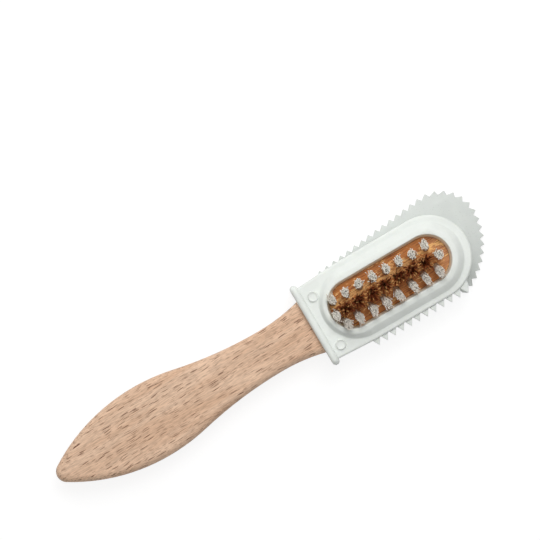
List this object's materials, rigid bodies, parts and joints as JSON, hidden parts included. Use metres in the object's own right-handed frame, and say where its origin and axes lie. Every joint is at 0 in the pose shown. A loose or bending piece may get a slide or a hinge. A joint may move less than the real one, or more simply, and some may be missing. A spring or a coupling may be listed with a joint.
{
  "type": "suede brush",
  "caption": "Suede and nubuck brush: beech handle, tufts of white nylon and brass wire in the head, and a white rubber sleeve with a window, a coarse side comb and a fine-toothed skirt.",
  "frame": {"origin": "in the flat back of the rubber sleeve, under the middle of its window", "axes": "+X along the brush towards the tip of the head, +Y towards the side of the fine-toothed skirt, +Z out of the bristle side"},
  "size_m": [0.2014, 0.0436, 0.023],
  "materials": {
    "beech_wood": "bare sanded beech, satin",
    "white_rubber": "moulded white rubber, soft satin",
    "white_nylon": "white nylon filament, slightly shiny",
    "brass_wire": "dull crimped brass wire",
    "anchor_steel": "drawn flat wire"
  },
  "bodies": {
    "root": {"handle": "beech_wood", "rubber_sleeve": "white_rubber", "nylon_tuft_01": "white_nylon", "nylon_tuft_02": "white_nylon", "nylon_tuft_03": "white_nylon", "nylon_tuft_04": "white_nylon", "nylon_tuft_05": "white_nylon", "nylon_tuft_06": "white_nylon", "nylon_tuft_07": "white_nylon", "nylon_tuft_08": "white_nylon", "nylon_tuft_09": "white_nylon", "nylon_tuft_10": "white_nylon", "nylon_tuft_11": "white_nylon", "nylon_tuft_12": "white_nylon", "nylon_tuft_13": "white_nylon", "nylon_tuft_14": "white_nylon", "nylon_tuft_15": "white_nylon", "nylon_tuft_16": "white_nylon", "nylon_tuft_17": "white_nylon", "nylon_tuft_18": "white_nylon", "brass_tuft_1": "brass_wire", "brass_tuft_2": "brass_wire", "brass_tuft_3": "brass_wire", "brass_tuft_4": "brass_wire", "brass_tuft_5": "brass_wire", "brass_tuft_6": "brass_wire", "brass_tuft_7": "brass_wire", "nylon_anchors": "anchor_steel", "brass_anchors": "anchor_steel"}
  },
  "joints": []
}
